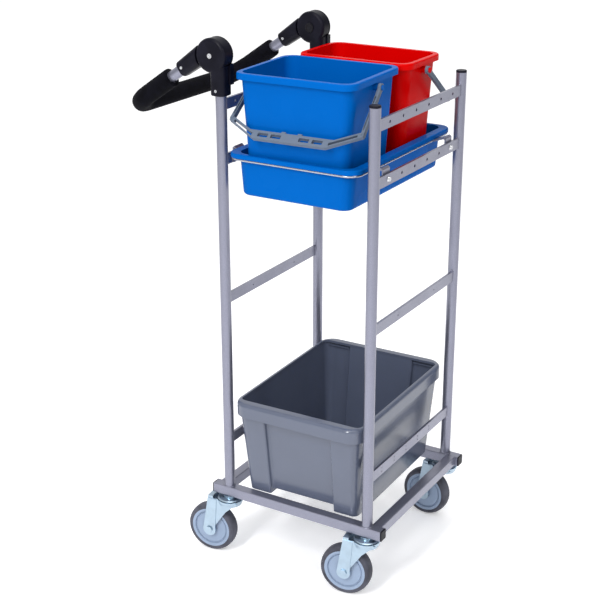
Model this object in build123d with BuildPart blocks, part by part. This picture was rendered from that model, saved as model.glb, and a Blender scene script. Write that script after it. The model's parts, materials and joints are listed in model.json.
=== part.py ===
from build123d import *
import os
from math import atan2, cos, degrees, radians, sin

# Housekeeping cart: a tubular frame on four swivel casters, with a hinged
# handle, a tray hung in a wire hoop, two buckets in the tray and a storage
# bin on the base tubes.
#
# Millimetres.  +X is the pushing direction, +Y is the left side, +Z is up.
# The origin is on the floor, under the middle of the cart's whole box.

# ---------------------------------------------------------------- dimensions
FIT = 0.05                 # radial clearance of a shaft that turns
SNUG = 0.1                 # radial clearance of a tube in its sleeve

# frame
POST_DX = 379.0            # post axis to post axis
POST_DY = 423.0
POST_R = 12.5
POST_WALL = 1.5
FRONT_POST_H = 978.0
REAR_POST_H = 1000.0
CAP_H = 5.0
TUBE = 25.0                # square base tube
TUBE_WALL = 1.5
OVERHANG = 40.0            # base tube beyond the post axis
CROSS_OFFSET = 20.0        # cross tube outside the post axis
PLUG_HEAD = 3.0
PLUG_DEPTH = 18.0

# rails
RAIL_H = 25.0
RAIL_T = 6.0
HOLE_PITCH = 62.0
HOLES = 6
HOLE_R = 3.5
PIN_HOLE_R = 1.8
PIN_HOLE_GAP = 9.0

# casters
WHEEL_R = 62.5
TREAD_W = 32.0
HUB_R = 51.0
HUB_W = 36.0
HUB_FACE = 12.0            # recessed face of the wheel centre, from its middle
FORK_GAP = 38.0
FORK_T = 3.0
AXLE_R = 5.0
LEG_STEP = 1.2             # the fork's legs stand out from its webs
AXLE_HEAD = 3.5
AXLE_HEX_R = 9.0
TRAIL = 49.0
SPINDLE_R = 6.0
RACE_R = 32.0
CASTER_H = 162.0           # floor to the underside of the base tubes

# tray and its hoop
HOOP_W = 319.0             # along X, wire centre to wire centre
HOOP_L = 471.0
HOOP_CORNER = 30.0
HOOP_OUT_X = 182.5         # hoop centre from the rear post axis
HOOP_OUT_Y = 221.5         # hoop centre from the right post axis
WIRE_R = 3.0
BRACKET_W = 32.0
BRACKET_T = 3.0
BRACKET_DROP = 12.0        # below the bolt
BRACKET_RISE = 22.0        # above the bolt
TRAY_RISE = 13.0           # rim above the wire's centre
TRAY_H = 96.0
TRAY_LIP = 4.5             # rim beyond the wire's centre
TRAY_FLANGE = (19.0, 11.0) # rim beyond the walls, along X and Y
TRAY_TAPER = (7.0, 5.0)    # each wall leans in by this over the height
TRAY_WALL = 2.5

# buckets
BLUE_W = 291.5
BLUE_L = 246.0
BLUE_YAW = 2.0             # the loose bucket stands a little askew
BLUE_MID_X = 182.5         # middle from the rear post axis
BLUE_MID = 105.5           # middle from the right post axis
RED_W = 288.0
RED_L = 182.0
RED_MID_X = 188.0
RED_MID = 332.0
BUCKET_TOP = 1019.0        # rim above the base tubes
RIM_OUT = 9.0              # rim beyond the wall
RIM_T = 2.5
SKIRT_H = 14.0
BUCKET_WALL = 3.0
BUCKET_TAPER = 15.0        # each wall leans in by this over the height
PIVOT_DROP = 25.0
STUD_R = 4.0

# bails
BAIL_REACH = 129.0         # pivot to the bend
BAIL_TIP = 173.0           # pivot to the outer edge of the grip
BAIL_CLEAR = 5.0           # arm centre outside the rim at the pivot
BAIL_FLARE = 8.0           # the arms spread by this up to the bend
BAIL_ARM_T = 7.0
BAIL_ARM_W = 12.0
BAIL_GRIP_W = 22.0
BAIL_GRIP_T = 9.0
BAIL_GRIP_HALF = 87.0
BAIL_ANGLE = 40.0          # below level, at rest
BAIL_EYE_R = 9.0
BAIL_GROOVE = 3.0

# bin
BIN_H = 240.0
BIN_TOP_W = 327.0
BIN_TOP_L = 451.0
BIN_BASE_W = 294.0
BIN_BASE_L = 392.0
BIN_WALL = 3.0
BIN_RIM_W = 340.0
BIN_RIM_L = 467.0
BIN_SKIRT = 34.0
BIN_LEG = 62.0             # width of the corner columns at the base
BIN_RECESS = 11.0
BIN_LIFT = 12.0            # floor above the legs' feet
BIN_STEP_R = 5.0
BIN_FLANGE_T = 6.0         # top of the rim
BIN_RIM_ROUND = 9.0
BIN_RIM_R = 40.0
BIN_LEDGE_DROP = 12.0      # small ledges in the columns, below the rim
BIN_YAW = 1.0              # the loose bin stands a little askew

# handle
HUB_X = -14.0              # hinge axis from the rear post axis
HUB_H = 1048.5             # hinge axis above the base tubes
JOINT_R = 38.0
JOINT_HALF = 20.0
JOINT_ROUND = 7.0
DISC_HALF = 11.7
SOCKET_R = 19.0
SOCKET_DROP = 87.0         # hinge axis to the lower end of the post socket
SOCKET_CORNER = 13.0
SOCKET_ROUND = 3.0         # round the lower end of each socket
ARM_SOCKET_H = 42.0
ARM_ANGLE = 34.5           # below level, at rest
ARM_RISE = 16.0            # arm tube axis above the hinge axis
ARM_START = 46.0
SOCKET_END = 94.0
GRIP_START = 131.0
ARM_LEN = 269.0
HANDLE_BEND = 58.0
ARM_TUBE_R = 12.5
ARM_TUBE_WALL = 1.5
GRIP_R = 22.0
PIN_R = 4.0
KEY_R = 2.6                # hexagon sockets in the pins and screws
KEY_DEPTH = 1.3
BUTTON_R = 11.0
BUTTON_PROUD = 3.0
BUTTON_LOW = 16.6          # back of the button, from the joint's middle
BUTTON_TRAVEL = 4.0
GEAR_R = 15.0              # toothed ring that locks the arm
GEAR_LOW = 6.0             # its faces, from the joint's middle
GEAR_HIGH = 14.0
TOOTH = 2.5                # a tooth beyond the ring, and half its width
TEETH = 12
RING_GAP = 0.4             # round the ring in the housing
POCKET_R = 18.6            # room for the ring in the arm's disc
SPRING_R = 9.0
SPRING_LOW = -3.0
SPRING_WIRE_R = 0.8
SPRING_TURNS = 3
SCREW_R = 1.8
SCREW_HEAD_R = 3.6
SCREW_HEAD_H = 1.6
SCREW_U = 82.0             # arm screw, out from the hinge axis
SCREW_DROP = 75.0          # housing screw, below the hinge axis
LUG = (10.0, 14.0, 45.0)   # block at the front of the housing's socket
LUG_OUT = 3.0
LUG_DROP = 41.0

# ------------------------------------------------------- places in the frame
CASTER_YAW = {"rear_right": 5.7, "front_right": 7.5,
              "front_left": -4.0, "rear_left": 3.0}
WIDE_COS = cos(radians(CASTER_YAW["front_right"]))
WIDE_SIN = sin(radians(CASTER_YAW["front_right"]))
BASE_TOP = CASTER_H + TUBE
ARM_DIR = (-cos(radians(ARM_ANGLE)), -sin(radians(ARM_ANGLE)))
ARM_UP = (-sin(radians(ARM_ANGLE)), cos(radians(ARM_ANGLE)))
BAR_X = HUB_X + ARM_LEN * ARM_DIR[0] + ARM_RISE * ARM_UP[0]
BAIL_TILT = degrees(atan2(BAIL_FLARE, BAIL_REACH))
BAIL_COS = cos(radians(BAIL_ANGLE))
BAIL_SIN = sin(radians(BAIL_ANGLE))

# distances from the rear right post to the ends of the whole cart
REACH_BACK = GRIP_R - BAR_X
REACH_FRONT = POST_DX + OVERHANG + PLUG_HEAD
AXLE_HALF = FORK_GAP / 2 + FORK_T + LEG_STEP + AXLE_HEAD
REACH_RIGHT = TRAIL * WIDE_SIN + AXLE_HALF * WIDE_COS + AXLE_HEX_R * WIDE_SIN
REACH_LEFT = RED_MID + BAIL_TIP * BAIL_COS + BAIL_GRIP_T / 2 * BAIL_SIN

XR = (REACH_BACK - REACH_FRONT) / 2        # rear posts
XF = XR + POST_DX                          # front posts
YR = (REACH_RIGHT - REACH_LEFT) / 2        # right posts
YL = YR + POST_DY                          # left posts
XM = (XR + XF) / 2
YM = (YR + YL) / 2

CORNERS = {"rear_right": (XR, YR), "front_right": (XF, YR),
           "front_left": (XF, YL), "rear_left": (XR, YL)}
RAIL_Z = {"top": 938.5, "tray": 814.0, "middle": 483.5, "low": 122.0}
HOOP_Z = 827.0 + BASE_TOP
BUCKET_RIM_Z = BUCKET_TOP + BASE_TOP
HOOP_X = XR + HOOP_OUT_X
HOOP_Y = YR + HOOP_OUT_Y
TRAY_TOP = HOOP_Z + TRAY_RISE
TRAY_Z = TRAY_TOP - TRAY_H
FORK_TOP = CASTER_H - 10.5
HUB_Z = HUB_H + BASE_TOP


def save(builder, name):
    """Label a finished piece and write it as its own STEP file."""
    builder.part.label = name
    export_step(builder.part, f"parts/{name}.step")


def hole_row():
    """Y places of the evenly spaced rail holes."""
    first = YM - (HOLES - 1) * HOLE_PITCH / 2
    return [first + i * HOLE_PITCH for i in range(HOLES)]


# ------------------------------------------------------------------- frame
def base_tube(name, y):
    """Square tube along X, with a hole under each post for the caster."""
    length = POST_DX + 2 * OVERHANG
    with BuildPart() as tube:
        with BuildSketch(Plane.YZ.offset(XR - OVERHANG)):
            with Locations((y, CASTER_H + TUBE / 2)):
                RectangleRounded(TUBE, TUBE, 2)
                RectangleRounded(TUBE - 2 * TUBE_WALL, TUBE - 2 * TUBE_WALL, 1, mode=Mode.SUBTRACT)
        extrude(amount=length)
        with BuildSketch(Plane.XY.offset(CASTER_H - 1)):
            with Locations((XR, y), (XF, y)):
                Circle(SPINDLE_R + SNUG)
        extrude(amount=TUBE_WALL + 2, mode=Mode.SUBTRACT)
    save(tube, name)


def cross_tube(name, x):
    """Square tube along Y, between the two base tubes."""
    with BuildPart() as tube:
        with BuildSketch(Plane.XZ.offset(-YL + TUBE / 2)):
            with Locations((x, CASTER_H + TUBE / 2)):
                RectangleRounded(TUBE, TUBE, 2)
                RectangleRounded(TUBE - 2 * TUBE_WALL, TUBE - 2 * TUBE_WALL, 1, mode=Mode.SUBTRACT)
        extrude(amount=POST_DY - TUBE)
    save(tube, name)


def end_plugs():
    """Four black plugs in the open ends of the base tubes."""
    inner = TUBE - 2 * TUBE_WALL - 0.4
    with BuildPart() as plugs:
        for x, side in ((XR - OVERHANG, -1), (XF + OVERHANG, 1)):
            with BuildSketch(Plane.YZ.offset(x)):
                with Locations((YR, CASTER_H + TUBE / 2), (YL, CASTER_H + TUBE / 2)):
                    RectangleRounded(TUBE, TUBE, 3)
            extrude(amount=side * PLUG_HEAD)
            with BuildSketch(Plane.YZ.offset(x)):
                with Locations((YR, CASTER_H + TUBE / 2), (YL, CASTER_H + TUBE / 2)):
                    RectangleRounded(inner, inner, 1)
                    RectangleRounded(inner - 4, inner - 4, 1, mode=Mode.SUBTRACT)
            extrude(amount=-side * PLUG_DEPTH)
        outer_faces = plugs.faces().filter_by(Axis.X).group_by(Axis.X)
        fillet(outer_faces[0].edges() + outer_faces[-1].edges(), 1.2)
    save(plugs, "tube_end_plugs")


def post(name, x, y, height, screw_z=None):
    """Round tube that stands on a base tube, with a cross hole if it carries a joint."""
    with BuildPart() as tube:
        with BuildSketch(Plane.XY.offset(BASE_TOP)):
            with Locations((x, y)):
                Circle(POST_R)
                Circle(POST_R - POST_WALL, mode=Mode.SUBTRACT)
        extrude(amount=height)
        if screw_z:
            with BuildSketch(Plane(origin=(x, y + POST_R, screw_z), x_dir=(1, 0, 0), z_dir=(0, -1, 0))):
                Circle(SCREW_R + SNUG)
            extrude(amount=2 * POST_R, mode=Mode.SUBTRACT)
    save(tube, name)


def post_caps():
    """Black caps on the two front posts."""
    top = BASE_TOP + FRONT_POST_H
    with BuildPart() as caps:
        for y in (YR, YL):
            with BuildSketch(Plane.XY.offset(top)):
                with Locations((XF, y)):
                    Circle(POST_R)
            extrude(amount=CAP_H)
            with BuildSketch(Plane.XY.offset(top)):
                with Locations((XF, y)):
                    Circle(POST_R - POST_WALL - SNUG)
                    Circle(POST_R - POST_WALL - 2, mode=Mode.SUBTRACT)
            extrude(amount=-14)
        fillet(caps.faces().filter_by(Axis.Z).group_by(Axis.Z)[-1].edges(), 2)
    save(caps, "post_caps")


def rail(name, x, side, level, holes, radius):
    """Flat bar welded between two posts, on the outer half of their width."""
    z = BASE_TOP + level
    with BuildPart() as bar:
        with BuildSketch(Plane.XY.offset(z - RAIL_H / 2)):
            with Locations((x + side * RAIL_T / 2, YM)):
                Rectangle(RAIL_T, POST_DY)
            with Locations((x, YR), (x, YL)):
                Circle(POST_R, mode=Mode.SUBTRACT)
        extrude(amount=RAIL_H)
        with BuildSketch(Plane.YZ.offset(x - side)):
            with Locations(*[(y, z + dz) for y, dz in holes]):
                Circle(radius)
        extrude(amount=side * (RAIL_T + 2), mode=Mode.SUBTRACT)
    save(bar, name)


def rails():
    """Four rails at the rear and four at the front."""
    row = [(y, 0.0) for y in hole_row()]
    pairs = [(y, dz) for y in hole_row()[:-1] for dz in (-PIN_HOLE_GAP / 2, PIN_HOLE_GAP / 2)]
    inner = [(y, 0.0) for y in hole_row()[1:-1:3]]
    for end, x, side in (("rear", XR, -1), ("front", XF, 1)):
        rail(f"{end}_rail_top", x, side, RAIL_Z["top"], row, HOLE_R)
        rail(f"{end}_rail_tray", x, side, RAIL_Z["tray"], row, HOLE_R)
        rail(f"{end}_rail_middle", x, side, RAIL_Z["middle"], inner, PIN_HOLE_R)
        rail(f"{end}_rail_low", x, side, RAIL_Z["low"], pairs, PIN_HOLE_R)


# ------------------------------------------------------- tray hoop, brackets
def tray_hoop():
    """Closed wire hoop that carries the tray by its rim."""
    hw, hl = HOOP_W / 2, HOOP_L / 2
    corners = [(HOOP_X + hw, HOOP_Y + hl, HOOP_Z), (HOOP_X - hw, HOOP_Y + hl, HOOP_Z),
               (HOOP_X - hw, HOOP_Y - hl, HOOP_Z), (HOOP_X + hw, HOOP_Y - hl, HOOP_Z)]
    with BuildPart() as hoop:
        with BuildLine() as path:
            FilletPolyline(*corners, radius=HOOP_CORNER, close=True)
        start = path.wires()[0]
        with BuildSketch(Plane(origin=start @ 0, z_dir=start % 0)):
            Circle(WIRE_R)
        sweep(path=start)
    save(hoop, "tray_hoop")


def bracket_profile(side):
    """Side view of one bracket: up the rail's inner face, over and down to the hoop."""
    bolt_z = BASE_TOP + RAIL_Z["tray"]
    face = XF if side > 0 else XR
    tip = HOOP_X + side * (HOOP_W / 2 + WIRE_R)
    knee = tip + side * 4
    low = bolt_z - BRACKET_DROP
    high = bolt_z + BRACKET_RISE
    shelf = HOOP_Z + BRACKET_T - 0.5
    return [(face, low), (face, high), (face - side * 5, high + 4), (knee, shelf), (tip, shelf),
            (tip, shelf - BRACKET_T), (knee + side * 1.5, shelf - BRACKET_T), (face - side * 6, high - 1),
            (face - side * BRACKET_T, high - 2.5), (face - side * BRACKET_T, low)]


def tray_brackets():
    """Four bent strips that join the hoop to the tray rails."""
    bolt_z = BASE_TOP + RAIL_Z["tray"]
    row = hole_row()
    with BuildPart() as strips:
        for y in (row[0], row[-1]):
            with BuildSketch(Plane.XZ.offset(-y - BRACKET_W / 2)):
                for side in (-1, 1):
                    with BuildLine():
                        Polyline(*bracket_profile(side), close=True)
                    make_face()
            extrude(amount=BRACKET_W)
        for x, side in ((XR, 1), (XF, -1)):
            with BuildSketch(Plane.YZ.offset(x - side)):
                with Locations((row[0], bolt_z), (row[-1], bolt_z)):
                    Circle(HOLE_R)
            extrude(amount=side * (BRACKET_T + 2), mode=Mode.SUBTRACT)
    save(strips, "tray_brackets")


def bracket_bolts():
    """Button-head bolts and nuts that hold the four brackets."""
    bolt_z = BASE_TOP + RAIL_Z["tray"]
    row = hole_row()
    grip = RAIL_T + BRACKET_T
    with BuildPart() as bolts:
        for x, side in ((XR, -1), (XF, 1)):
            spots = [(row[0], bolt_z), (row[-1], bolt_z)]
            with BuildSketch(Plane.YZ.offset(x - side * (BRACKET_T + 7))):
                with Locations(*spots):
                    Circle(HOLE_R - 0.3)
            extrude(amount=side * (grip + 7))
            with BuildSketch(Plane.YZ.offset(x + side * RAIL_T)):
                with Locations(*spots):
                    Circle(6.5)
            extrude(amount=side * 3.5, taper=25)
            with BuildSketch(Plane.YZ.offset(x - side * BRACKET_T)):
                with Locations(*spots):
                    RegularPolygon(6, 6)
            extrude(amount=-side * 5)
    save(bolts, "bracket_bolts")


# ---------------------------------------------------------------- casters
def caster_plane(corner):
    """Plane of a caster: origin on the floor under its swivel axis, X towards the front."""
    x, y = CORNERS[corner]
    yaw = radians(CASTER_YAW[corner])
    return Plane(origin=(x, y, 0), x_dir=(cos(yaw), sin(yaw), 0), z_dir=(0, 0, 1))


def side_plane(corner, offset):
    """Vertical plane along a caster's X, at a distance to the caster's left."""
    flat = caster_plane(corner)
    return Plane(origin=flat.origin + flat.y_dir * offset, x_dir=flat.x_dir, z_dir=-flat.y_dir)


def caster_spindles():
    """Fixed top race, spacer and spindle of each caster."""
    with BuildPart() as spindles:
        for x, y in CORNERS.values():
            with BuildSketch(Plane(origin=(x, y, 0), x_dir=(1, 0, 0), z_dir=(0, -1, 0))):
                with BuildLine():
                    Polyline((0, CASTER_H - 26), (SPINDLE_R, CASTER_H - 26), (SPINDLE_R, CASTER_H - 10),
                             (RACE_R - 3, CASTER_H - 10), (RACE_R - 1, CASTER_H - 8),
                             (RACE_R - 4, CASTER_H - 6), (16, CASTER_H - 5),
                             (16, CASTER_H), (SPINDLE_R, CASTER_H),
                             (SPINDLE_R, CASTER_H + TUBE_WALL), (9, CASTER_H + TUBE_WALL),
                             (9, CASTER_H + 9), (SPINDLE_R, CASTER_H + 9), (SPINDLE_R, CASTER_H + 14),
                             (0, CASTER_H + 14), close=True)
                make_face()
            revolve(axis=Axis((x, y, 0), (0, 0, 1)))
    save(spindles, "caster_spindles")


def caster_fork(corner):
    """Pressed fork: two legs with slanting webs, a dished head and a raised rear lip."""
    flat = caster_plane(corner)
    half = FORK_GAP / 2 + FORK_T
    web = [(29, FORK_TOP - 3), (14, FORK_TOP - 16), (-4, FORK_TOP - 33), (-TRAIL + 15, WHEEL_R + 12),
           (-TRAIL - 10, WHEEL_R), (-51, FORK_TOP), (-20, FORK_TOP)]
    leg = [(-27, FORK_TOP - 2), (-TRAIL + 16, WHEEL_R + 5), (-TRAIL - 16.5, WHEEL_R + 2), (-51, FORK_TOP)]
    with BuildPart() as fork:
        for side in (-1, 1):
            inner = side_plane(corner, side * FORK_GAP / 2)
            with BuildSketch(inner):
                with BuildLine():
                    Polyline(*web, close=True)
                make_face()
            extrude(amount=-side * FORK_T)
            with BuildSketch(inner):
                with BuildLine():
                    Polyline(*leg, close=True)
                make_face()
                with Locations((-TRAIL, WHEEL_R)):
                    Circle(17)
            extrude(amount=-side * (FORK_T + LEG_STEP))
        with BuildSketch(flat.offset(FORK_TOP - 14)):
            Circle(RACE_R - 4)
        with BuildSketch(flat.offset(FORK_TOP - 3)):
            Circle(RACE_R)
        loft()
        with BuildSketch(flat.offset(FORK_TOP - 3)):
            Circle(RACE_R)
            with Locations((-38, 0)):
                Rectangle(26, 2 * half)
        extrude(amount=3)
        with BuildSketch(flat.offset(FORK_TOP - 3)):
            with Locations((-44, 0)):
                Rectangle(14, 2 * half)
        extrude(amount=9)
        with BuildSketch(flat.offset(FORK_TOP - 20)):
            Circle(SPINDLE_R + FIT)
        extrude(amount=24, mode=Mode.SUBTRACT)
        with BuildSketch(flat.offset(FORK_TOP - 40)):
            Circle(11)
        extrude(amount=33, mode=Mode.SUBTRACT)
        with BuildSketch(side_plane(corner, half + 2)):
            with Locations((-TRAIL, WHEEL_R)):
                Circle(AXLE_R + FIT)
        extrude(amount=2 * half + 4, mode=Mode.SUBTRACT)
    save(fork, f"caster_fork_{corner}")


def caster_axle(corner):
    """Wheel bolt with a hex head and a nut outside the fork."""
    half = FORK_GAP / 2 + FORK_T + LEG_STEP
    with BuildPart() as axle:
        with BuildSketch(side_plane(corner, half)):
            with Locations((-TRAIL, WHEEL_R)):
                Circle(AXLE_R)
        extrude(amount=2 * half)
        for offset, amount in ((half, -AXLE_HEAD), (-half, AXLE_HEAD)):
            with BuildSketch(side_plane(corner, offset)):
                with Locations((-TRAIL, WHEEL_R)):
                    RegularPolygon(AXLE_HEX_R, 6)
            extrude(amount=amount)
    save(axle, f"caster_axle_{corner}")


def wheel_profile(corner, points):
    """Turn half-section points (radius, offset) about a caster's wheel axis."""
    flat = caster_plane(corner)
    centre = flat.origin + flat.x_dir * -TRAIL + Vector(0, 0, WHEEL_R)
    section = Plane(origin=centre, x_dir=(0, 0, 1), z_dir=-flat.x_dir)
    with BuildSketch(section) as profile:
        with BuildLine():
            Polyline(*points, close=True)
        make_face()
    revolve(profile.sketch, axis=Axis(centre, flat.y_dir))


def caster_wheel(corner):
    """Moulded wheel centre: a flat face inside a groove and a raised edge."""
    half = HUB_W / 2
    rim = TREAD_W / 2 - 1
    right = [(AXLE_R + FIT, half), (11, half), (12, HUB_FACE), (HUB_R - 11, HUB_FACE),
             (HUB_R - 10, HUB_FACE - 2), (HUB_R - 8, HUB_FACE - 2), (HUB_R - 7, rim - 1),
             (HUB_R - 5, rim), (HUB_R, rim)]
    left = [(r, -w) for r, w in reversed(right)]
    with BuildPart() as hub:
        wheel_profile(corner, right + left)
    save(hub, f"wheel_hub_{corner}")


def caster_tyre(corner):
    """Rounded rubber tread bonded to the wheel centre."""
    half = TREAD_W / 2
    right = [(HUB_R, half - 1), (HUB_R + 4, half), (WHEEL_R - 6, half), (WHEEL_R - 2, half - 3),
             (WHEEL_R - 0.4, half - 8), (WHEEL_R, half - 13)]
    left = [(r, -w) for r, w in reversed(right)]
    with BuildPart() as tyre:
        wheel_profile(corner, right + left)
    save(tyre, f"tyre_{corner}")


# ------------------------------------------------------------ tray, buckets
def open_tub(stand, bottom, top, mouth, base, corner, wall, rim, skirt):
    """Tapered tub with a flat rim and a skirt, rounded at the mouth and round the floor."""
    with BuildPart() as tub:
        with BuildSketch(stand.offset(bottom)) as low:
            RectangleRounded(*base, corner - 4)
        with BuildSketch(stand.offset(top)) as high:
            RectangleRounded(*mouth, corner)
        loft([low.sketch.face(), high.sketch.face()])
        fillet(tub.faces().sort_by(Axis.Z)[0].edges(), 8)
        with BuildSketch(stand.offset(top)) as flange:
            RectangleRounded(*rim, corner + 4)
        extrude(flange.sketch, amount=-RIM_T)
        with BuildSketch(stand.offset(top)) as edge:
            RectangleRounded(*rim, corner + 4)
            RectangleRounded(rim[0] - 2 * RIM_T, rim[1] - 2 * RIM_T, corner + 4 - RIM_T, mode=Mode.SUBTRACT)
        extrude(edge.sketch, amount=-skirt)
        with BuildSketch(stand.offset(bottom + wall)) as low:
            RectangleRounded(base[0] - 2 * wall, base[1] - 2 * wall, corner - 4 - wall)
        with BuildSketch(stand.offset(top)) as high:
            RectangleRounded(mouth[0] - 2 * wall, mouth[1] - 2 * wall, corner - wall)
        loft([low.sketch.face(), high.sketch.face()], mode=Mode.SUBTRACT)
        crown = tub.faces().filter_by(Axis.Z).sort_by(Axis.Z)[-1]
        fillet(crown.outer_wire().edges(), RIM_T + 1)
        crown = tub.faces().filter_by(Axis.Z).sort_by(Axis.Z)[-1]
        fillet(crown.inner_wires()[0].edges(), 1)
    return tub


def tray():
    """Shallow tray that hangs by its rim on the wire hoop."""
    rim = (HOOP_W + 2 * TRAY_LIP, HOOP_L + 2 * TRAY_LIP)
    mouth = (rim[0] - 2 * TRAY_FLANGE[0], rim[1] - 2 * TRAY_FLANGE[1])
    base = (mouth[0] - 2 * TRAY_TAPER[0], mouth[1] - 2 * TRAY_TAPER[1])
    stand = Plane(origin=(HOOP_X, HOOP_Y, 0))
    save(open_tub(stand, TRAY_Z, TRAY_TOP, mouth, base, 30, TRAY_WALL, rim, TRAY_RISE - WIRE_R), "tray")


def bucket_plane(x, y, yaw):
    """Plane of a loose bucket: origin on the floor under its middle."""
    return Plane(origin=(x, y, 0), x_dir=(cos(radians(yaw)), sin(radians(yaw)), 0), z_dir=(0, 0, 1))


def cross_plane(stand, offset, height):
    """Upright plane across a bucket's X at a distance from its middle, its origin at a height."""
    return Plane(origin=stand.origin + stand.x_dir * offset + Vector(0, 0, height),
                 x_dir=stand.y_dir, z_dir=stand.x_dir)


def bucket(name, stand, width, length):
    """Rectangular bucket with a skirted rim and a stud on each side for its bail."""
    bottom = TRAY_Z + TRAY_WALL
    height = BUCKET_RIM_Z - bottom
    mouth = (width - 2 * RIM_OUT, length - 2 * RIM_OUT)
    base = (mouth[0] - 2 * BUCKET_TAPER, mouth[1] - 2 * BUCKET_TAPER)
    pivot_z = BUCKET_RIM_Z - PIVOT_DROP
    face = mouth[0] / 2 - BUCKET_TAPER * PIVOT_DROP / height
    arm = width / 2 + BAIL_CLEAR
    tub = open_tub(stand, bottom, BUCKET_RIM_Z, mouth, base, 28, BUCKET_WALL, (width, length), SKIRT_H)
    with BuildPart() as pail:
        add(tub.part)
        for side in (-1, 1):
            for start, end, radius in ((face - 1.5, arm - BAIL_ARM_T / 2 - 0.5, 8),
                                       (face, arm + BAIL_ARM_T / 2 + 0.5, STUD_R),
                                       (arm + BAIL_ARM_T / 2 + 0.5, arm + BAIL_ARM_T / 2 + 3, 6)):
                with BuildSketch(cross_plane(stand, side * start, pivot_z)):
                    Circle(radius)
                extrude(amount=side * (end - start))
    save(pail, name)


def bail(name, stand, width, side):
    """Moulded bail: two grooved arms, an open bend on each side and a grip with windows."""
    pivot_z = BUCKET_RIM_Z - PIVOT_DROP
    plane = Plane(origin=stand.origin + Vector(0, 0, pivot_z), x_dir=stand.x_dir * side,
                  z_dir=stand.y_dir * (side * BAIL_SIN) + Vector(0, 0, BAIL_COS))
    root = width / 2 + BAIL_CLEAR
    bend = root + BAIL_FLARE
    half = BAIL_ARM_T / 2
    grip_in = BAIL_TIP - BAIL_GRIP_W
    grip_mid = BAIL_TIP - BAIL_GRIP_W / 2
    outer = [(bend + half, BAIL_REACH - 6), (bend + half, BAIL_REACH + 4), (BAIL_GRIP_HALF, BAIL_TIP)]
    inner = [(BAIL_GRIP_HALF + 14, grip_in), (bend - half, BAIL_REACH - 6)]
    slot = [(bend - half - 6, BAIL_REACH + 2), (bend - half - 5, BAIL_REACH + 7),
            (BAIL_GRIP_HALF + 6, grip_mid + 5), (BAIL_GRIP_HALF + 5, grip_mid - 2)]
    with BuildPart() as loop:
        for s in (-1, 1):
            with BuildSketch(plane):
                with BuildLine():
                    Polyline((s * (root - half), 0), (s * (root + half), 0), (s * (bend + half), BAIL_REACH),
                             (s * (bend - half), BAIL_REACH), close=True)
                make_face()
            extrude(amount=BAIL_ARM_W / 2, both=True)
            with BuildSketch(cross_plane(stand, s * (root - half), pivot_z)):
                Circle(BAIL_EYE_R)
            extrude(amount=s * BAIL_ARM_T)
        with BuildSketch(plane):
            with BuildLine():
                Polyline(*outer, *[(-x, y) for x, y in reversed(outer)],
                         *[(-x, y) for x, y in reversed(inner)], *inner, close=True)
            make_face()
            with Locations((-20, grip_in - 1), (20, grip_in - 1)):
                Rectangle(10, 5)
        extrude(amount=BAIL_GRIP_T / 2, both=True)
        with BuildSketch(plane):
            for s in (-1, 1):
                with Locations((s * 34, grip_mid), (s * 66, grip_mid)):
                    RectangleRounded(25, 10, 2)
                with BuildLine():
                    Polyline(*[(s * x, y) for x, y in slot], close=True)
                make_face()
        extrude(amount=BAIL_GRIP_T, both=True, mode=Mode.SUBTRACT)
        with BuildSketch(plane.offset(BAIL_ARM_W / 2 - BAIL_GROOVE)):
            for s in (-1, 1):
                with Locations((s * (root + bend) / 2, BAIL_REACH / 2 + 8)):
                    SlotOverall(BAIL_REACH - 40, BAIL_GROOVE, rotation=90 - s * BAIL_TILT)
        extrude(amount=BAIL_GROOVE + 1, mode=Mode.SUBTRACT)
        with BuildSketch(cross_plane(stand, -root - half - 1, pivot_z)):
            Circle(STUD_R + FIT)
        extrude(amount=2 * (root + half + 1), mode=Mode.SUBTRACT)
    save(loop, name)


# ------------------------------------------------------------------- bin
def bin_section(plane, width, length, leg, recess, corner):
    """Plan of the bin: a rectangle whose two end walls step in between the corner columns."""
    step = width / 2 - leg
    with BuildSketch(plane) as section:
        Rectangle(width, length)
        with Locations((0, (length - recess) / 2), (0, (recess - length) / 2)):
            Rectangle(2 * step, recess, mode=Mode.SUBTRACT)
        fillet(section.vertices().filter_by(lambda v: abs(v.X) > width / 2 - 1), corner)
        fillet(section.vertices().filter_by(lambda v: abs(abs(v.X) - step) < 0.01), BIN_STEP_R)
    return section.sketch.face()


def bin_arch(flat, half_width, height, length, radius, mode):
    """Tunnel along Y between the feet, in or under the floor."""
    side = Plane(origin=flat.origin + flat.y_dir * (length / 2), x_dir=flat.x_dir, z_dir=-flat.y_dir)
    with BuildSketch(side) as tunnel:
        with Locations((0, (height - 20) / 2)):
            Rectangle(2 * half_width, height + 20)
        fillet(tunnel.vertices().group_by(Axis.Y)[-1], radius)
        with Locations((0, -10)):
            Rectangle(2 * half_width + 2, 20, mode=Mode.SUBTRACT)
    extrude(tunnel.sketch, amount=length, mode=mode)


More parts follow.
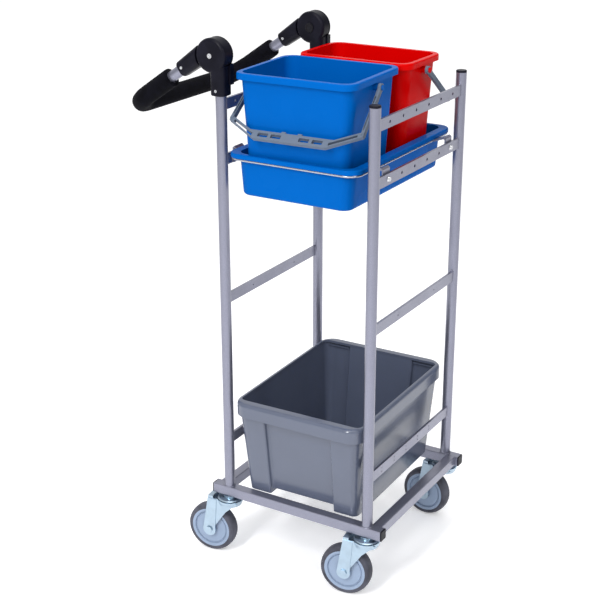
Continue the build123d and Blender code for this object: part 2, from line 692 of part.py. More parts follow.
def storage_bin():
    """Stacking bin: corner columns, two long feet, recessed end walls, deep rim skirt."""
    yaw = radians(BIN_YAW)
    flat = Plane(origin=(XM + 1, YM, BASE_TOP), x_dir=(cos(yaw), sin(yaw), 0))
    column_top = BIN_LEG + 14
    arch = BIN_BASE_W / 2 - BIN_LEG
    with BuildPart() as tub:
        for inset, mode in ((0, Mode.ADD), (BIN_WALL, Mode.SUBTRACT)):
            base = bin_section(flat.offset(inset), BIN_BASE_W - 2 * inset, BIN_BASE_L - 2 * inset,
                               BIN_LEG - 2 * inset, BIN_RECESS, 16 - inset)
            mouth = bin_section(flat.offset(BIN_H), BIN_TOP_W - 2 * inset, BIN_TOP_L - 2 * inset,
                                column_top - 2 * inset, BIN_RECESS, 26 - inset)
            loft([base, mouth], mode=mode)
        inside = BIN_BASE_L - 2 * BIN_RECESS - BIN_WALL
        bin_arch(flat, arch + BIN_WALL, BIN_LIFT + BIN_WALL, inside, 11, Mode.ADD)
        bin_arch(flat, arch, BIN_LIFT, BIN_BASE_L + 20, 8, Mode.SUBTRACT)
        ledge_y = BIN_TOP_L / 2 - BIN_RECESS / 2 - BIN_WALL
        ledge_x = (BIN_TOP_W - column_top) / 2
        with BuildSketch(flat.offset(BIN_H - BIN_LEDGE_DROP)):
            with GridLocations(2 * ledge_x, 2 * ledge_y, 2, 2):
                Rectangle(column_top - 3 * BIN_WALL, BIN_RECESS)
        extrude(amount=-BIN_WALL)
        for depth, ring in ((BIN_FLANGE_T, False), (BIN_SKIRT, True)):
            with BuildSketch(flat.offset(BIN_H)):
                RectangleRounded(BIN_RIM_W, BIN_RIM_L, BIN_RIM_R)
                if ring:
                    RectangleRounded(BIN_RIM_W - 2 * BIN_WALL, BIN_RIM_L - 2 * BIN_WALL, BIN_RIM_R - BIN_WALL,
                                     mode=Mode.SUBTRACT)
                else:
                    RectangleRounded(BIN_TOP_W - 3 * BIN_WALL, BIN_TOP_L - 2 * BIN_RECESS - 3 * BIN_WALL, 14,
                                     mode=Mode.SUBTRACT)
            extrude(amount=-depth)
        crown = tub.faces().filter_by(Axis.Z).sort_by(Axis.Z)[-1]
        fillet(crown.outer_wire().edges(), BIN_RIM_ROUND)
    save(tub, "storage_bin")


# ---------------------------------------------------------------- handle
# Across a joint, distances are measured from its middle towards the inside of
# the cart: the pin's head is on the outside and the button on the inside.
JOINT_SIDES = {"right": (YR, 1), "left": (YL, -1)}


def across(y):
    """Upright plane at y whose X runs forward from the rear posts; it faces -Y."""
    return Plane(origin=(XR, y, 0), x_dir=(1, 0, 0), z_dir=(0, -1, 0))


def slab(sketch_at, side, low, high, mode=Mode.ADD):
    """Extrude a sketch function between two distances from a joint's middle."""
    y, inward = JOINT_SIDES[side]
    start, stop = sorted((y + inward * low, y + inward * high))
    with BuildSketch(across(stop)) as profile:
        sketch_at()
    extrude(profile.sketch, amount=stop - start, mode=mode)


def hub_circle(radius):
    """Sketch function for a circle about the hinge axis."""
    def draw():
        with Locations((HUB_X, HUB_Z)):
            Circle(radius)
    return draw


def hub_hexagon(radius):
    """Sketch function for a hexagon about the hinge axis."""
    def draw():
        with Locations((HUB_X, HUB_Z)):
            RegularPolygon(radius, 6)
    return draw


def gear_outline(grow):
    """Sketch function for the toothed lock ring, grown by a clearance."""
    def draw():
        with Locations((HUB_X, HUB_Z)):
            Circle(GEAR_R + grow)
            with PolarLocations(GEAR_R, TEETH):
                Rectangle(2 * (TOOTH + grow), 4 + 2 * grow)
    return draw


def arm_point(u, v=ARM_RISE):
    """X and Z of a point on the arm, u out from the hinge and v above it."""
    return (XR + HUB_X + u * ARM_DIR[0] + v * ARM_UP[0], HUB_Z + u * ARM_DIR[1] + v * ARM_UP[1])


def arm_plane(u, y):
    """Plane square to the arm at u, with its local Y up from the arm."""
    x, z = arm_point(u)
    return Plane(origin=(x, y, z), x_dir=(0, 1, 0), z_dir=(ARM_DIR[0], 0, ARM_DIR[1]))


def joint_housing(side):
    """Fixed part of a handle joint: two round cheeks on a socket over the post."""
    y = JOINT_SIDES[side][0]
    socket_low = HUB_Z - SOCKET_DROP
    with BuildPart() as housing:
        slab(hub_circle(JOINT_R), side, -JOINT_HALF, JOINT_HALF)
        fillet(housing.edges().filter_by(GeomType.CIRCLE), JOINT_ROUND)
        with BuildSketch(Plane.XY.offset(socket_low)):
            with Locations((XR, y)):
                RectangleRounded(2 * SOCKET_R, 2 * JOINT_HALF, SOCKET_CORNER)
        extrude(amount=SOCKET_DROP)
        fillet(housing.faces().sort_by(Axis.Z)[0].edges(), SOCKET_ROUND)
        lug_x = XR + SOCKET_R - LUG[0] / 2 + LUG_OUT
        with Locations((lug_x, y + JOINT_HALF - LUG[1] / 2 - 1, HUB_Z - LUG_DROP)):
            Box(*LUG)
        slab(hub_circle(JOINT_R + 1.5), side, -DISC_HALF - 0.3, DISC_HALF + 0.3, Mode.SUBTRACT)
        slab(hub_circle(PIN_R), side, -JOINT_HALF - 1, JOINT_HALF + 1, Mode.SUBTRACT)
        slab(gear_outline(RING_GAP), side, 0, BUTTON_LOW - RING_GAP, Mode.SUBTRACT)
        slab(hub_circle(BUTTON_R + 0.3), side, 0, JOINT_HALF + 1, Mode.SUBTRACT)
        with BuildSketch(Plane.XY.offset(socket_low - 1)):
            with Locations((XR, y)):
                Circle(POST_R + SNUG)
        extrude(amount=BASE_TOP + REAR_POST_H - socket_low + 1, mode=Mode.SUBTRACT)
        with BuildSketch(across(y + JOINT_HALF + 1)):
            with Locations((0, HUB_Z - SCREW_DROP)):
                Circle(SCREW_R + SNUG)
        extrude(amount=2 * JOINT_HALF + 2, mode=Mode.SUBTRACT)
    save(housing, f"joint_housing_{side}")


def arm_joint(side):
    """Moving part of a handle joint: a disc between the cheeks and a socket for the tube."""
    y = JOINT_SIDES[side][0]
    with BuildPart() as joint:
        with BuildSketch(arm_plane(24, y)):
            RectangleRounded(2 * JOINT_HALF, ARM_SOCKET_H, SOCKET_CORNER)
        with BuildSketch(arm_plane(SOCKET_END, y)):
            RectangleRounded(2 * JOINT_HALF - 4, ARM_SOCKET_H - 6, SOCKET_CORNER)
        loft()
        lower_end = joint.faces().sort_by(Axis((0, 0, 0), (ARM_DIR[0], 0, ARM_DIR[1])))[-1]
        fillet(lower_end.edges(), SOCKET_ROUND)
        for low, high in ((-JOINT_HALF - 1, -DISC_HALF), (DISC_HALF, JOINT_HALF + 1)):
            slab(hub_circle(JOINT_R + 1.2), side, low, high, Mode.SUBTRACT)
        slab(hub_circle(JOINT_R - 0.5), side, -DISC_HALF, DISC_HALF)
        slab(hub_circle(PIN_R + FIT), side, -DISC_HALF - 1, DISC_HALF + 1, Mode.SUBTRACT)
        for radius, deepest in ((POCKET_R, GEAR_LOW), (SPRING_R + 1, SPRING_LOW)):
            slab(hub_circle(radius), side, deepest - BUTTON_TRAVEL - RING_GAP, DISC_HALF + 1, Mode.SUBTRACT)
        with BuildSketch(arm_plane(ARM_START, y)):
            Circle(ARM_TUBE_R + SNUG)
        extrude(amount=SOCKET_END, mode=Mode.SUBTRACT)
        with BuildSketch(across(y + JOINT_HALF + 1)):
            sx, sz = arm_point(SCREW_U)
            with Locations((sx - XR, sz)):
                Circle(SCREW_R + SNUG)
        extrude(amount=2 * JOINT_HALF + 2, mode=Mode.SUBTRACT)
    save(joint, f"arm_joint_{side}")


def joint_pin(side):
    """Pivot pin with a domed head on the outside of the joint."""
    with BuildPart() as pin:
        slab(hub_circle(PIN_R), side, -JOINT_HALF, GEAR_HIGH + 1)
        slab(hub_circle(PIN_R + 1.5), side, -JOINT_HALF - 1.5, -JOINT_HALF)
        slab(hub_hexagon(KEY_R), side, -JOINT_HALF - 2, -JOINT_HALF - 1.5 + KEY_DEPTH, Mode.SUBTRACT)
    save(pin, f"joint_pin_{side}")


def lock_gear(side):
    """Toothed ring that slides on the pin and keys the arm to the housing."""
    with BuildPart() as gear:
        slab(gear_outline(0), side, GEAR_LOW, GEAR_HIGH)
        slab(hub_circle(PIN_R + SNUG), side, GEAR_LOW - 1, GEAR_HIGH + 1, Mode.SUBTRACT)
    save(gear, f"lock_gear_{side}")


def release_button(side):
    """Round push button that slides the lock gear out of the cheek."""
    top = JOINT_HALF + BUTTON_PROUD
    with BuildPart() as button:
        slab(hub_circle(BUTTON_R), side, BUTTON_LOW, top)
        slab(hub_circle(PIN_R + 3), side, GEAR_HIGH, BUTTON_LOW)
        slab(hub_circle(PIN_R + 0.4), side, GEAR_HIGH - 1, top - 2, Mode.SUBTRACT)
        slab(hub_circle(BUTTON_R - 3), side, top - 0.8, top + 1, Mode.SUBTRACT)
    save(button, f"release_button_{side}")


def button_spring(side):
    """Coil spring under the lock gear, round the pin."""
    y, inward = JOINT_SIDES[side]
    coil_r = SPRING_R - SPRING_WIRE_R - RING_GAP
    length = GEAR_LOW - SPRING_LOW - 2 * SPRING_WIRE_R
    pitch = length / SPRING_TURNS
    base = Vector(XR + HUB_X, y + inward * (SPRING_LOW + SPRING_WIRE_R), HUB_Z)
    with BuildPart() as spring:
        with BuildLine():
            coil = Helix(pitch=pitch, height=length, radius=coil_r, center=base, direction=(0, inward, 0))
        with BuildSketch(Plane(origin=coil @ 0, z_dir=coil % 0)):
            Circle(SPRING_WIRE_R)
        sweep(path=coil, is_frenet=True)
    save(spring, f"button_spring_{side}")


def handle_route(start):
    """U-shaped centre line: out along one arm, across and back along the other."""
    ax, az = arm_point(start)
    bx, bz = arm_point(ARM_LEN)
    return [(ax, YR, az), (bx, YR, bz), (bx, YL, bz), (ax, YL, az)]


def handle_sleeve(name, start, outer, inner, screws):
    """Tube or foam sleeve along the handle's route."""
    sx, sz = arm_point(SCREW_U)
    with BuildPart() as sleeve:
        with BuildLine() as path:
            FilletPolyline(*handle_route(start), radius=HANDLE_BEND)
        with BuildSketch(arm_plane(start, YR)):
            Circle(outer)
            Circle(inner, mode=Mode.SUBTRACT)
        sweep(path=path.wires()[0])
        if screws:
            with BuildSketch(across(YL + JOINT_HALF)):
                with Locations((sx - XR, sz)):
                    Circle(SCREW_R + SNUG)
            extrude(amount=POST_DY + 2 * JOINT_HALF, mode=Mode.SUBTRACT)
    save(sleeve, name)


def cross_screws(name, x, z, half):
    """Two cross screws with a head on each face, one in each joint."""
    with BuildPart() as screws:
        for y in (YR, YL):
            with BuildSketch(across(y + half)):
                with Locations((x - XR, z)):
                    Circle(SCREW_R)
            extrude(amount=2 * half)
            for way in (1, -1):
                with BuildSketch(across(y + way * half)):
                    with Locations((x - XR, z)):
                        Circle(SCREW_HEAD_R)
                extrude(amount=-way * SCREW_HEAD_H, taper=15)
                with BuildSketch(across(y + way * (half + SCREW_HEAD_H + 1))):
                    with Locations((x - XR, z)):
                        RegularPolygon(SCREW_R, 6)
                extrude(amount=way * (KEY_DEPTH + 1), mode=Mode.SUBTRACT)
    save(screws, name)


os.makedirs("parts", exist_ok=True)

base_tube("base_tube_right", YR)
base_tube("base_tube_left", YL)
cross_tube("cross_tube_rear", XR - CROSS_OFFSET)
cross_tube("cross_tube_front", XF + CROSS_OFFSET)
end_plugs()
for corner, (px, py) in CORNERS.items():
    if corner.startswith("rear"):
        post(f"post_{corner}", px, py, REAR_POST_H, HUB_Z - SCREW_DROP)
    else:
        post(f"post_{corner}", px, py, FRONT_POST_H)
post_caps()
rails()
tray_hoop()
tray_brackets()
bracket_bolts()
caster_spindles()
for corner in CORNERS:
    caster_fork(corner)
    caster_axle(corner)
    caster_wheel(corner)
    caster_tyre(corner)
tray()
blue_stand = bucket_plane(XR + BLUE_MID_X, YR + BLUE_MID, BLUE_YAW)
red_stand = bucket_plane(XR + RED_MID_X, YR + RED_MID, 0)
bucket("bucket_blue", blue_stand, BLUE_W, BLUE_L)
bucket("bucket_red", red_stand, RED_W, RED_L)
bail("bail_blue", blue_stand, BLUE_W, -1)
bail("bail_red", red_stand, RED_W, 1)
storage_bin()
for side in JOINT_SIDES:
    joint_housing(side)
    arm_joint(side)
    joint_pin(side)
    lock_gear(side)
    release_button(side)
    button_spring(side)
handle_sleeve("handle_tube", ARM_START, ARM_TUBE_R, ARM_TUBE_R - ARM_TUBE_WALL, True)
handle_sleeve("handle_grip", GRIP_START, GRIP_R, ARM_TUBE_R + SNUG, False)
cross_screws("housing_screws", XR, HUB_Z - SCREW_DROP, JOINT_HALF)
cross_screws("arm_screws", *arm_point(SCREW_U), JOINT_HALF - 1.4)
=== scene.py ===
import json
import math
import random

import bpy
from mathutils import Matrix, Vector


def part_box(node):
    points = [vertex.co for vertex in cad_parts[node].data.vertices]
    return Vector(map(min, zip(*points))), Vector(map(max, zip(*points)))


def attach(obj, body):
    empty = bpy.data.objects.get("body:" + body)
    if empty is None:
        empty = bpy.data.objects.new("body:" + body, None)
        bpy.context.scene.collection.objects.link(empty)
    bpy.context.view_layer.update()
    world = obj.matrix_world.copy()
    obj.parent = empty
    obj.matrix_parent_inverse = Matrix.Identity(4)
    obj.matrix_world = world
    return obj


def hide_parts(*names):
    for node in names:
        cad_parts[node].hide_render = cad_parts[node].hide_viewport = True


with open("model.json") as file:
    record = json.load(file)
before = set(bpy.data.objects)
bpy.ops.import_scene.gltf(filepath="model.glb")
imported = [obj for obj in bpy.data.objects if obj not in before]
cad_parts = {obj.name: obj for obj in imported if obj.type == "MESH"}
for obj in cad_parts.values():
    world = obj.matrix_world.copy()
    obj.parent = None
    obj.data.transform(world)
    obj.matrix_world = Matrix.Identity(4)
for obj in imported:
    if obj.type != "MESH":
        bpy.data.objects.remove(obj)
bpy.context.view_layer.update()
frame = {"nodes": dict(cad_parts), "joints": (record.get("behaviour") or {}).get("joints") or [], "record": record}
MM = 0.001
TUBE_R = 12.5 * MM  # posts and handle tube


# ---------------------------------------------------------------- materials
def material(name, colour, roughness, metallic=0.0, specular=0.5, coat=0.0, coat_roughness=0.1):
    """Principled material with its uniform values on the shader's own sockets."""
    mat = bpy.data.materials.new(name)
    mat.use_nodes = True
    shader = mat.node_tree.nodes["Principled BSDF"]
    shader.inputs["Base Color"].default_value = (*colour, 1)
    shader.inputs["Roughness"].default_value = roughness
    shader.inputs["Metallic"].default_value = metallic
    shader.inputs["Specular IOR Level"].default_value = specular
    shader.inputs["Coat Weight"].default_value = coat
    shader.inputs["Coat Roughness"].default_value = coat_roughness
    return mat


def object_place(mat):
    """Object coordinates, from one node that a material's textures share."""
    nodes = mat.node_tree.nodes
    place = nodes.get("place") or nodes.new("ShaderNodeTexCoord")
    place.name = "place"
    return place.outputs["Object"]


def noise(mat, scale, detail):
    """Noise texture in object space; scale is in cycles per metre."""
    texture = mat.node_tree.nodes.new("ShaderNodeTexNoise")
    texture.inputs["Scale"].default_value = scale
    texture.inputs["Detail"].default_value = detail
    mat.node_tree.links.new(object_place(mat), texture.inputs["Vector"])
    return texture.outputs["Fac"]


def number_ramp(mat, value, low, high, spread):
    """Maps the spread of a texture's value to a range of numbers."""
    node = mat.node_tree.nodes.new("ShaderNodeMapRange")
    node.inputs["From Min"].default_value = spread[0]
    node.inputs["From Max"].default_value = spread[1]
    node.inputs["To Min"].default_value = low
    node.inputs["To Max"].default_value = high
    mat.node_tree.links.new(value, node.inputs["Value"])
    return node.outputs["Result"]


def colour_ramp(mat, value, low, high, spread):
    """Maps the spread of a texture's value to a range of colours."""
    node = mat.node_tree.nodes.new("ShaderNodeValToRGB")
    for stop, position, colour in zip(node.color_ramp.elements, spread, (low, high)):
        stop.position = position
        stop.color = (*colour, 1)
    mat.node_tree.links.new(value, node.inputs["Fac"])
    return node.outputs["Color"]


def vary(mat, texture, colours=None, roughness=None, spread=(0.35, 0.65)):
    """Lets a texture vary the base colour, the roughness or both."""
    shader, links = mat.node_tree.nodes["Principled BSDF"], mat.node_tree.links
    if colours:
        links.new(colour_ramp(mat, texture, *colours, spread), shader.inputs["Base Color"])
    if roughness:
        links.new(number_ramp(mat, texture, *roughness, spread), shader.inputs["Roughness"])


def bump(mat, *layers):
    """Stacks bumps; each layer is a texture, a strength and a depth in metres."""
    nodes, links = mat.node_tree.nodes, mat.node_tree.links
    last = None
    for texture, strength, depth in layers:
        node = nodes.new("ShaderNodeBump")
        node.inputs["Strength"].default_value = strength
        node.inputs["Distance"].default_value = depth
        links.new(texture, node.inputs["Height"])
        if last:
            links.new(last, node.inputs["Normal"])
        last = node.outputs["Normal"]
    links.new(last, nodes["Principled BSDF"].inputs["Normal"])


def shade(colour, factor):
    """A colour made darker or lighter, with no channel above 1."""
    return tuple(min(1.0, c * factor) for c in colour)


def painted(name, colour):
    """Silver paint: fine metal flake over slightly uneven gloss."""
    mat = material(name, colour, 0.33, metallic=0.75, coat=0.2, coat_roughness=0.2)
    flake = noise(mat, 1400, 2)
    vary(mat, flake, (shade(colour, 0.84), shade(colour, 1.14)))
    vary(mat, noise(mat, 18, 4), roughness=(0.28, 0.38))
    bump(mat, (flake, 0.06, 0.0002), (noise(mat, 260, 2), 0.05, 0.0004))
    return mat


def metal(name, colour, low, high):
    """Plated or bare metal with faint grain; low and high bound its cloudy roughness."""
    mat = material(name, colour, (low + high) / 2, metallic=1.0)
    vary(mat, noise(mat, 60, 4), (shade(colour, 0.94), shade(colour, 1.04)), (low, high))
    bump(mat, (noise(mat, 900, 2), 0.08, 0.0002))
    return mat


def plastic(name, colour, low, high, shine=0.1, dark=0.9):
    """Moulded plastic: cloudy roughness from low to high, faint colour drift and orange peel."""
    mat = material(name, colour, (low + high) / 2, specular=shine)
    cloud = noise(mat, 7, 3)
    vary(mat, cloud, (shade(colour, dark), shade(colour, 1.04)), (low, high), spread=(0.2, 0.8))
    bump(mat, (noise(mat, 30, 2), 0.05, 0.002), (noise(mat, 1500, 2), 0.03, 0.0002))
    return mat


def grained(name, colour, roughness, cell, strength):
    """Fine-grained dark plastic or rubber."""
    mat = material(name, colour, roughness, specular=0.10)
    cloud = noise(mat, 30, 4)
    vary(mat, cloud, (shade(colour, 0.75), shade(colour, 1.35)), (roughness - 0.06, roughness + 0.08))
    bump(mat, (noise(mat, cell, 3), strength, 0.0004))
    return mat


def foam(name, colour):
    """Foam: small cells and a slight unevenness in a soft matte skin."""
    mat = material(name, colour, 0.85, specular=0.03)
    shader = mat.node_tree.nodes["Principled BSDF"]
    shader.inputs["Sheen Weight"].default_value = 0.02
    shader.inputs["Sheen Roughness"].default_value = 0.5
    cells = mat.node_tree.nodes.new("ShaderNodeTexVoronoi")
    cells.inputs["Scale"].default_value = 900
    mat.node_tree.links.new(object_place(mat), cells.inputs["Vector"])
    cloud = noise(mat, 60, 5)
    vary(mat, cloud, (shade(colour, 0.7), shade(colour, 1.5)), (0.78, 0.95))
    bump(mat, (cells.outputs["Distance"], 0.25, 0.0006), (noise(mat, 120, 4), 0.2, 0.001))
    return mat


LOOK = {
    "frame_silver": painted("silver_paint", (0.235, 0.24, 0.305)),
    "wire_chrome": metal("hoop_wire", (0.42, 0.43, 0.48), 0.20, 0.32),
    "fastener_steel": metal("bright_steel", (0.60, 0.61, 0.63), 0.18, 0.30),
    "caster_zinc": metal("zinc_plate", (0.38, 0.48, 0.57), 0.28, 0.34),
    "wheel_centre": plastic("wheel_centre", (0.27, 0.34, 0.46), 0.34, 0.46),
    "tread": grained("tread_rubber", (0.070, 0.072, 0.092), 0.55, 500, 0.25),
    "joint_black": grained("joint_plastic", (0.005, 0.005, 0.010), 0.34, 900, 0.15),
    "button_grey": grained("button_plastic", (0.010, 0.010, 0.013), 0.35, 900, 0.2),
    "grip_foam": foam("grip_foam", (0.003, 0.003, 0.005)),
    "plastic_blue": plastic("blue_plastic", (0.0, 0.094, 0.39), 0.22, 0.30, shine=0.02, dark=0.93),
    "plastic_red": plastic("red_plastic", (0.56, 0.0, 0.0), 0.22, 0.30, shine=0.04, dark=0.93),
    "bail_grey": plastic("bail_plastic", (0.12, 0.15, 0.20), 0.35, 0.48),
    "bin_grey": plastic("bin_plastic", (0.088, 0.104, 0.154), 0.16, 0.24, shine=0.7),
}
SLOT_OF = {row["node"]: row["material_slot"] for row in frame["record"]["subparts"]}
for node_name, node in frame["nodes"].items():
    node.data.materials.clear()
    node.data.materials.append(LOOK[SLOT_OF[node_name]])


# ------------------------------------------------------------- mesh helpers
def middle(node):
    """Centre of a CAD node's box."""
    low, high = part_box(node)
    return (low + high) / 2


def mesh_piece(name, verts, faces, body, slot):
    """New smooth piece with a record slot's finish, riding on a body."""
    mesh = bpy.data.meshes.new(name)
    mesh.from_pydata([tuple(v) for v in verts], [], faces)
    mesh.validate()
    for polygon in mesh.polygons:
        polygon.use_smooth = True
    piece = bpy.data.objects.new(name, mesh)
    bpy.context.scene.collection.objects.link(piece)
    mesh.materials.append(LOOK[slot])
    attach(piece, body)
    return piece


def sweep(points, radii, sides, closed=False):
    """Rings of vertices along a line of points, kept from twisting."""
    verts, faces = [], []
    count = len(points)
    tangent = []
    for i, p in enumerate(points):
        ahead = points[(i + 1) % count] if closed or i + 1 < count else p
        behind = points[i - 1] if closed or i else p
        tangent.append((ahead - behind).normalized())
    side = tangent[0].orthogonal().normalized()
    for i, p in enumerate(points):
        side = (side - tangent[i] * side.dot(tangent[i])).normalized()
        up = tangent[i].cross(side)
        for k in range(sides):
            a = 2 * math.pi * k / sides
            verts.append(p + (side * math.cos(a) + up * math.sin(a)) * radii[i])
    for i in range(count if closed else count - 1):
        here, there = i * sides, ((i + 1) % count) * sides
        for k in range(sides):
            onward = (k + 1) % sides
            faces.append((here + k, here + onward, there + onward, there + k))
    if not closed:
        faces.append(tuple(reversed(range(sides))))
        faces.append(tuple(range((count - 1) * sides, count * sides)))
    return verts, faces


def merge(parts):
    """One list of vertices and one of faces from several."""
    verts, faces = [], []
    for part_verts, part_faces in parts:
        base = len(verts)
        verts += part_verts
        faces += [tuple(base + k for k in face) for face in part_faces]
    return verts, faces


# --------------------------------------------------------------- foam grip
GRIP_CAD_R = 22.0 * MM
GRIP_R = 21.6 * MM
GRIP_BORE_R = 12.7 * MM
GRIP_START = 131.0 * MM  # from the hinge, down the arm
GRIP_BEND_R = 58.0 * MM
GRIP_STEP = 3.0 * MM
GRIP_BEND_STEPS = 18
GRIP_SIDES = 40
ARM_SLOPE = math.radians(34.5)
CREASE_DEPTH = 0.25 * MM
CREASE_RHYTHM = 1.3
CREASE_MIDDLE = 0.3 * GRIP_BEND_R
CREASE_SPREAD = 0.4 * GRIP_BEND_R
SKIN_UNEVENNESS = 0.06 * MM
END_ROUND = 0.6 * MM
END_ROUND_REACH = 2 * MM
END_RECESS = 0.2 * MM


def arm_line():
    """Middle of the bar, direction of the arms, their reach up to the hinge, and each arm's y."""
    tube_low, tube_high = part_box("handle_tube")
    grip_low, grip_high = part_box("handle_grip")
    hinge = next(j for j in frame["joints"] if j["name"] == "handle_fold")["pos_m"]
    bar = Vector((grip_low.x + GRIP_CAD_R, 0, grip_low.z + GRIP_CAD_R))
    right, left = tube_low.y + TUBE_R, tube_high.y - TUBE_R
    along = Vector((-math.cos(ARM_SLOPE), 0, -math.sin(ARM_SLOPE)))
    reach = (Vector((hinge[0], 0, hinge[2])) - bar).dot(-along)
    return bar, along, reach, right, left


def grip_path(bar, along, reach, right, left):
    """Points down the right arm, round its bend, across the bar and up the left arm."""
    arm = []
    for i in range(int((reach - GRIP_START - GRIP_BEND_R) / GRIP_STEP) + 1):
        arm.append(bar - along * (reach - GRIP_START - i * GRIP_STEP) + Vector((0, right, 0)))
    for i in range(GRIP_BEND_STEPS + 1):
        a = math.pi / 2 * i / GRIP_BEND_STEPS
        back = GRIP_BEND_R - GRIP_BEND_R * math.sin(a)
        y = right + GRIP_BEND_R - GRIP_BEND_R * math.cos(a)
        arm.append(bar - along * back + Vector((0, y, 0)))
    across = []
    for i in range(1, int((left - right - 2 * GRIP_BEND_R) / GRIP_STEP)):
        across.append(bar + Vector((0, right + GRIP_BEND_R + i * GRIP_STEP, 0)))
    return arm + across + [Vector((p.x, left + right - p.y, p.z)) for p in reversed(arm)]


def grip_piece():
    """Foam sleeve with soft square-cut ends and faint creases in its bends."""
    bar, along, reach, right, left = arm_line()
    path = grip_path(bar, along, reach, right, left)
    rng = random.Random(7)
    radii = []
    for i, p in enumerate(path):
        from_end = min(i, len(path) - 1 - i) * GRIP_STEP
        from_arm = min(abs(p.y - right), abs(p.y - left))
        crease = 0.0
        if abs(p.x - bar.x) < GRIP_BEND_R:
            crease = CREASE_DEPTH * math.sin(i * CREASE_RHYTHM)
            crease *= math.exp(-((from_arm - CREASE_MIDDLE) / CREASE_SPREAD) ** 2)
        uneven = rng.uniform(-SKIN_UNEVENNESS, SKIN_UNEVENNESS)
        radii.append(GRIP_R + crease + uneven - END_ROUND * math.exp(-from_end / END_ROUND_REACH))
    first = path[0] + (path[1] - path[0]).normalized() * END_RECESS
    last = path[-1] + (path[-2] - path[-1]).normalized() * END_RECESS
    rings = [GRIP_BORE_R] + radii + [GRIP_BORE_R]
    verts, faces = sweep([first] + path + [last], rings, GRIP_SIDES)
    piece = mesh_piece("foam_grip", verts, faces, "handle", "grip_foam")
    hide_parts("handle_grip")


grip_piece()


# ---------------------------------------------------------------- weld beads
BEAD_R = 1.7 * MM
BEAD_LIFT = 0.4 * MM
BEAD_SIDES = 8
BEAD_STEPS = 14
RING_R = 13.0 * MM
RING_STEPS = 64


def bead_radii(count, rhythm, rng):
    """Radii of a rippled weld bead, one for each of its points."""
    return [
        BEAD_R * (0.85 + 0.18 * math.sin(i * rhythm) + rng.uniform(-0.05, 0.05))
        for i in range(count)
    ]


def rail_beads(rng):
    """A bead with tapered ends down each face of each rail, at both of its posts."""
    beads = []
    for end in ("rear", "front"):
        for level in ("top", "tray", "middle", "low"):
            low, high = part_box(f"{end}_rail_{level}")
            outer_then_inner = (low.x, high.x) if end == "rear" else (high.x, low.x)
            for side, inward in (("right", 1), ("left", -1)):
                post = middle(f"post_{end}_{side}")
                for x in outer_then_inner:
                    reach = math.sqrt(max(0.0, TUBE_R ** 2 - (x - post.x) ** 2))
                    y = post.y + inward * (reach + BEAD_LIFT)
                    line = [
                        Vector((x, y, low.z + (high.z - low.z) * i / BEAD_STEPS))
                        for i in range(BEAD_STEPS + 1)
                    ]
                    radii = bead_radii(len(line), 1.9, rng)
                    radii[0] *= 0.5
                    radii[-1] *= 0.5
                    beads.append(sweep(line, radii, BEAD_SIDES))
    return beads


def foot_beads(rng):
    """A ring of weld round the foot of each post."""
    beads = []
    for end in ("rear", "front"):
        for side in ("right", "left"):
            centre = middle(f"post_{end}_{side}")
            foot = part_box(f"post_{end}_{side}")[0].z
            ring = []
            for i in range(RING_STEPS):
                a = 2 * math.pi * i / RING_STEPS
                x = centre.x + RING_R * math.cos(a)
                y = centre.y + RING_R * math.sin(a)
                ring.append(Vector((x, y, foot + BEAD_LIFT)))
            beads.append(sweep(ring, bead_radii(RING_STEPS, 1.7, rng), BEAD_SIDES, closed=True))
    return beads


def weld_beads():
    """Beads where rails meet posts and where posts stand on the base tubes."""
    rng = random.Random(11)
    verts, faces = merge(rail_beads(rng) + foot_beads(rng))
    mesh_piece("weld_beads", verts, faces, "frame", "frame_silver")


weld_beads()


# ------------------------------------------------------------------- studio
FLOOR_HALF = 40.0
FLOOR_GLOW = 0.30
TENT_STRENGTH = 0.95
TENT_AXIS = (0.86, 0.51, 0.0)
TENT_STOPS = ((0.0, 0.45), (0.14, 0.85), (0.30, 1.0), (0.68, 1.0), (0.86, 0.25), (1.0, 0.12))


def area(name, place, target, size, power):
    """Soft rectangular light that faces a target; power is in watts."""
    data = bpy.data.lights.new(name, "AREA")
    data.shape = "RECTANGLE"
    data.size, data.size_y = size
    data.energy = power
    lamp = bpy.data.objects.new(name, data)
    bpy.context.scene.collection.objects.link(lamp)
    lamp.location = place
    lamp.rotation_mode = "QUATERNION"
    lamp.rotation_quaternion = (Vector(target) - Vector(place)).to_track_quat("-Z", "Y")


def floor():
    """Wide pale floor that glows a little, so that shadows on it stay pale."""
    pale = material("pale_floor", (0.95, 0.95, 0.96), 0.7, specular=0.1)
    vary(pale, noise(pale, 1.5, 3), ((0.94, 0.94, 0.95), (0.96, 0.96, 0.97)))
    shader = pale.node_tree.nodes["Principled BSDF"]
    shader.inputs["Emission Color"].default_value = (1.0, 1.0, 1.0, 1)
    shader.inputs["Emission Strength"].default_value = FLOOR_GLOW
    mesh = bpy.data.meshes.new("floor")
    signs = ((-1, -1), (1, -1), (1, 1), (-1, 1))
    corners = [(x * FLOOR_HALF, y * FLOOR_HALF, 0) for x, y in signs]
    mesh.from_pydata(corners, [], [(0, 1, 2, 3)])
    mesh.materials.append(pale)
    obj = bpy.data.objects.new("floor", mesh)
    bpy.context.scene.collection.objects.link(obj)


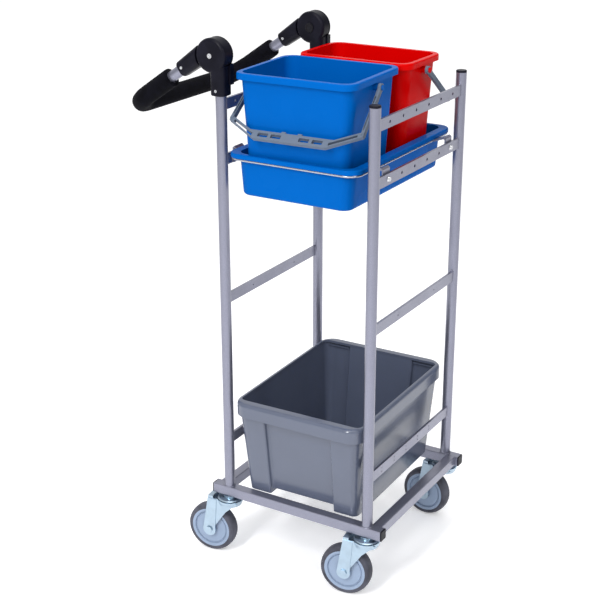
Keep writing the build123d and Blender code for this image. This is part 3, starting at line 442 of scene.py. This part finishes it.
def surround():
    """White tent round the cart that falls off to grey at its two open ends."""
    world = bpy.data.worlds.new("studio")
    world.use_nodes = True
    nodes, links = world.node_tree.nodes, world.node_tree.links
    back = nodes["Background"]
    back.inputs["Strength"].default_value = TENT_STRENGTH
    place = nodes.new("ShaderNodeTexCoord")
    along = nodes.new("ShaderNodeVectorMath")
    along.operation = "DOT_PRODUCT"
    along.inputs[1].default_value = TENT_AXIS
    tent = nodes.new("ShaderNodeValToRGB")
    lift = nodes.new("ShaderNodeMapRange")
    lift.inputs["From Min"].default_value = -1.0
    while len(tent.color_ramp.elements) < len(TENT_STOPS):
        tent.color_ramp.elements.new(0.5)
    for stop, (position, level) in zip(tent.color_ramp.elements, TENT_STOPS):
        stop.position = position
        stop.color = (level, level, level, 1)
    links.new(place.outputs["Generated"], along.inputs[0])
    links.new(along.outputs["Value"], lift.inputs["Value"])
    links.new(lift.outputs["Result"], tent.inputs["Fac"])
    links.new(tent.outputs["Color"], back.inputs["Color"])
    bpy.context.scene.world = world


def studio():
    """Floor, surround, and three lights high enough to reach into the bin."""
    floor()
    surround()
    area("key", (0.1, -3.1, 2.9), (0, 0, 0.5), (0.5, 1.8), 78)
    area("side", (2.9, -0.9, 2.7), (0, 0, 0.4), (0.5, 1.8), 22)
    area("top", (0.3, -0.4, 3.6), (0, 0, 0.75), (1.8, 1.8), 24)


# ------------------------------------------------------------------- camera
CAMERA_FROM_POST = (1.2300, -2.3547)
CAMERA_HEIGHT = 1.7686
CAMERA_LENS = 77.95
CAMERA_DOWN = 21.32
CAMERA_TURN = 30.67


def camera():
    """Long lens, placed from the near front post, turned from the cart's side and looking down."""
    post = middle("post_front_right")
    data = bpy.data.cameras.new("camera")
    data.sensor_width = 36
    data.lens = CAMERA_LENS
    data.clip_end = 200
    cam = bpy.data.objects.new("camera", data)
    bpy.context.scene.collection.objects.link(cam)
    cam.location = (post.x + CAMERA_FROM_POST[0], post.y + CAMERA_FROM_POST[1], CAMERA_HEIGHT)
    cam.rotation_euler = (math.radians(90 - CAMERA_DOWN), 0, math.radians(CAMERA_TURN))
    bpy.context.scene.camera = cam


studio()
camera()
bpy.context.scene.view_settings.view_transform = "Standard"
